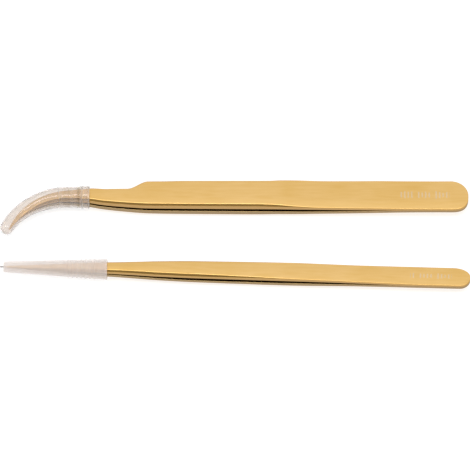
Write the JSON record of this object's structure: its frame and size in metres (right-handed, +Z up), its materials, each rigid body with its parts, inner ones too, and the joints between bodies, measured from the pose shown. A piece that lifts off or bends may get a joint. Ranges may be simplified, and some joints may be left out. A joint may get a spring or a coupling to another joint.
{
  "type": "stamp tongs",
  "caption": "Gold-coated spring tongs for stamps: a wide pair with hooked tips in a clear sleeve, beside a slim straight pair with needle tips in a frosted cap.",
  "frame": {"origin": "middle of the set, on the surface that it lies on", "axes": "+X from the tips to the heels, +Z up, +Y from the straight pair to the hooked pair"},
  "size_m": [0.1403, 0.0379, 0.0067],
  "materials": {
    "gold_coated_steel": "satin gold coating, brushed along the arm",
    "weld_steel": "fused steel inside the heel",
    "clear_vinyl": "clear glossy soft vinyl",
    "frosted_vinyl": "frosted translucent soft vinyl"
  },
  "bodies": {
    "curved_base": {"curved_lower_arm": "gold_coated_steel", "curved_heel_weld": "weld_steel"},
    "curved_spring_arm": {"curved_upper_arm": "gold_coated_steel"},
    "curved_cap": {"curved_tip_cap": "clear_vinyl"},
    "straight_base": {"straight_lower_arm": "gold_coated_steel", "straight_heel_weld": "weld_steel"},
    "straight_spring_arm": {"straight_upper_arm": "gold_coated_steel"},
    "straight_cap": {"straight_tip_cap": "frosted_vinyl"}
  },
  "joints": [
    {"name": "curved_squeeze", "type": "hinge", "parent": "curved_base", "child": "curved_spring_arm", "pos_m": [0.07012, 0.01382, 0.00335], "axis": [0, 1, 0], "range_deg": [0, 2.4], "stiffness_Nm_per_rad": 1.4, "springref_deg": 2.4},
    {"name": "curved_cap_pull", "type": "hinge", "parent": "curved_base", "child": "curved_cap", "pos_m": [-0.04638, -0.01368, 0.00335], "axis": [0, 0, 1], "range_deg": [0, 170]},
    {"name": "straight_pick_up", "type": "slide", "parent": "curved_base", "child": "straight_base", "axis": [0, 0, 1], "range_m": [0, 0.05]},
    {"name": "straight_squeeze", "type": "hinge", "parent": "straight_base", "child": "straight_spring_arm", "pos_m": [0.07017, -0.01593, 0.00308], "axis": [0.0314, 0.9995, 0], "range_deg": [0, 2.4], "stiffness_Nm_per_rad": 1, "springref_deg": 2.4},
    {"name": "straight_cap_pull", "type": "slide", "parent": "straight_base", "child": "straight_cap", "axis": [-0.9995, 0.0314, 0], "range_m": [0, 0.09]}
  ],
  "couplings": [
    {"joint": "curved_squeeze", "follows": "curved_cap_pull", "ratio": 0.014118},
    {"joint": "straight_squeeze", "follows": "straight_cap_pull", "rad_per_m": 0.46542}
  ]
}
